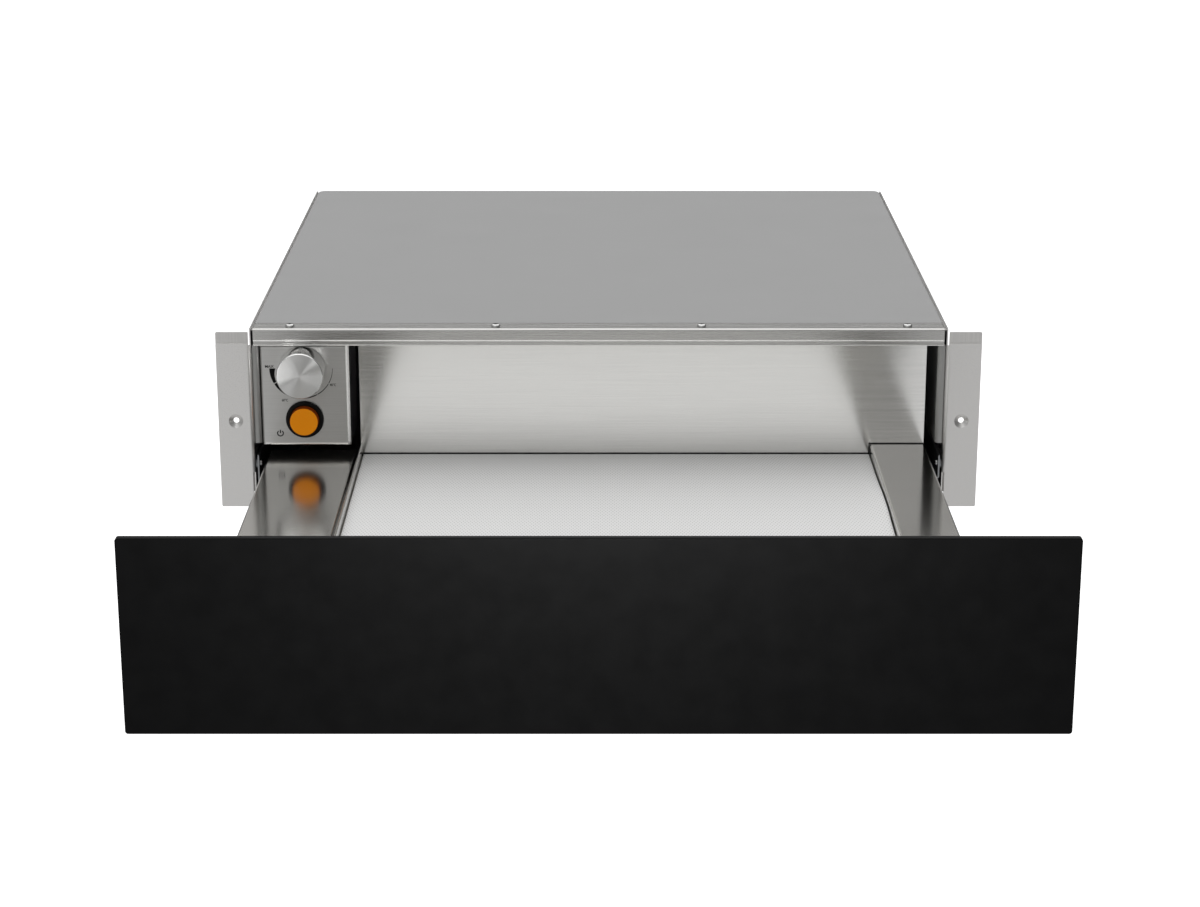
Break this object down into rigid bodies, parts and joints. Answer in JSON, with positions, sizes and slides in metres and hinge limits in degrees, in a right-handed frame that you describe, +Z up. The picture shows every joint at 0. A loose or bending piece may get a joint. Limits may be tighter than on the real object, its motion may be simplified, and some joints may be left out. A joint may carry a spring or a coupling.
{
  "type": "built-in warming drawer",
  "caption": "Built-in warming drawer for a kitchen niche: steel cabinet with mounting flanges, glass-fronted full-extension drawer with a heated floor, temperature knob and lit push button.",
  "frame": {"origin": "in the plane of the mounting flanges' front faces, on the centre line, at the underside of the base", "axes": "+X to the right seen from the front, +Y into the cabinet, +Z up; the drawer opens towards -Y"},
  "size_m": [0.595, 0.9851, 0.1469],
  "materials": {
    "satin_steel": "fine brushed",
    "polished_steel": "bright brushed",
    "cover_steel": "matt coated",
    "zinc_runner": "zinc plated",
    "screw_steel": "bright",
    "black_glass": "black backed",
    "mat_rubber": "embossed matt",
    "spun_aluminium": "spun",
    "amber_plastic": "translucent",
    "black_plastic": "satin",
    "pale_plastic": "moulded",
    "dark_rubber": "matt",
    "heater_film": "silicone",
    "mineral_board": "felted"
  },
  "bodies": {
    "cabinet": {"base_panel": "cover_steel", "rear_panel": "cover_steel", "top_cover": "cover_steel", "front_rail": "satin_steel", "cross_brace": "cover_steel", "front_rail_screws": "screw_steel", "housing_screws": "screw_steel", "terminal_block": "pale_plastic", "cord_gland": "black_plastic", "latch_housing": "black_plastic", "runner_screws": "screw_steel", "control_box": "satin_steel", "thermostat_body": "pale_plastic", "switch_bezel": "black_plastic", "switch_body": "black_plastic", "left_side_panel": "satin_steel", "left_flange_backing": "satin_steel", "left_side_liner": "satin_steel", "left_cabinet_rail": "zinc_runner", "right_side_panel": "satin_steel", "right_flange_backing": "satin_steel", "right_side_liner": "satin_steel", "right_cabinet_rail": "zinc_runner"},
    "drawer": {"drawer_tray": "polished_steel", "drawer_back_panel": "polished_steel", "non_slip_mat": "mat_rubber", "front_glass": "black_glass", "bonding_tape": "dark_rubber", "front_carrier": "satin_steel", "carrier_inner_panel": "satin_steel", "carrier_screws": "screw_steel", "front_buffers": "dark_rubber", "heater_mat": "heater_film", "insulation_board": "mineral_board", "thermal_cut_out": "pale_plastic", "under_tray_cover": "cover_steel", "striker_plate": "screw_steel", "left_drawer_rail": "zinc_runner", "right_drawer_rail": "zinc_runner"},
    "knob": {"control_knob": "spun_aluminium", "knob_shaft": "screw_steel"},
    "button": {"button_cap": "amber_plastic"},
    "latch": {"latch_plunger": "black_plastic"},
    "left_runner_middle": {"left_middle_rail": "zinc_runner"},
    "left_lower_rollers": {"left_lower_roller_cage": "pale_plastic"},
    "left_upper_rollers": {"left_upper_roller_cage": "pale_plastic"},
    "right_runner_middle": {"right_middle_rail": "zinc_runner"},
    "right_lower_rollers": {"right_lower_roller_cage": "pale_plastic"},
    "right_upper_rollers": {"right_upper_roller_cage": "pale_plastic"}
  },
  "joints": [
    {"name": "drawer_slide", "type": "slide", "parent": "cabinet", "child": "drawer", "axis": [0, -1, 0], "range_m": [-0.428, 0]},
    {"name": "knob_turn", "type": "hinge", "parent": "cabinet", "child": "knob", "pos_m": [-0.2309, 0, 0.1117], "axis": [0, 1, 0], "range_deg": [0, 270]},
    {"name": "button_press", "type": "slide", "parent": "cabinet", "child": "button", "axis": [0, 1, 0], "range_m": [0, 0.003], "stiffness_N_per_m": 350, "springref_m": -0.002},
    {"name": "latch_push", "type": "slide", "parent": "cabinet", "child": "latch", "axis": [0, 1, 0], "range_m": [0, 0.006], "stiffness_N_per_m": 250, "springref_m": -0.004},
    {"name": "left_runner_middle_slide", "type": "slide", "parent": "cabinet", "child": "left_runner_middle", "axis": [0, -1, 0], "range_m": [-0.214, 0]},
    {"name": "left_lower_rollers_slide", "type": "slide", "parent": "cabinet", "child": "left_lower_rollers", "axis": [0, -1, 0], "range_m": [-0.107, 0]},
    {"name": "left_upper_rollers_slide", "type": "slide", "parent": "cabinet", "child": "left_upper_rollers", "axis": [0, -1, 0], "range_m": [-0.321, 0]},
    {"name": "right_runner_middle_slide", "type": "slide", "parent": "cabinet", "child": "right_runner_middle", "axis": [0, -1, 0], "range_m": [-0.214, 0]},
    {"name": "right_lower_rollers_slide", "type": "slide", "parent": "cabinet", "child": "right_lower_rollers", "axis": [0, -1, 0], "range_m": [-0.107, 0]},
    {"name": "right_upper_rollers_slide", "type": "slide", "parent": "cabinet", "child": "right_upper_rollers", "axis": [0, -1, 0], "range_m": [-0.321, 0]}
  ],
  "couplings": [
    {"joint": "left_runner_middle_slide", "follows": "drawer_slide", "ratio": 0.5},
    {"joint": "left_lower_rollers_slide", "follows": "drawer_slide", "ratio": 0.25},
    {"joint": "left_upper_rollers_slide", "follows": "drawer_slide", "ratio": 0.75},
    {"joint": "right_runner_middle_slide", "follows": "drawer_slide", "ratio": 0.5},
    {"joint": "right_lower_rollers_slide", "follows": "drawer_slide", "ratio": 0.25},
    {"joint": "right_upper_rollers_slide", "follows": "drawer_slide", "ratio": 0.75}
  ]
}
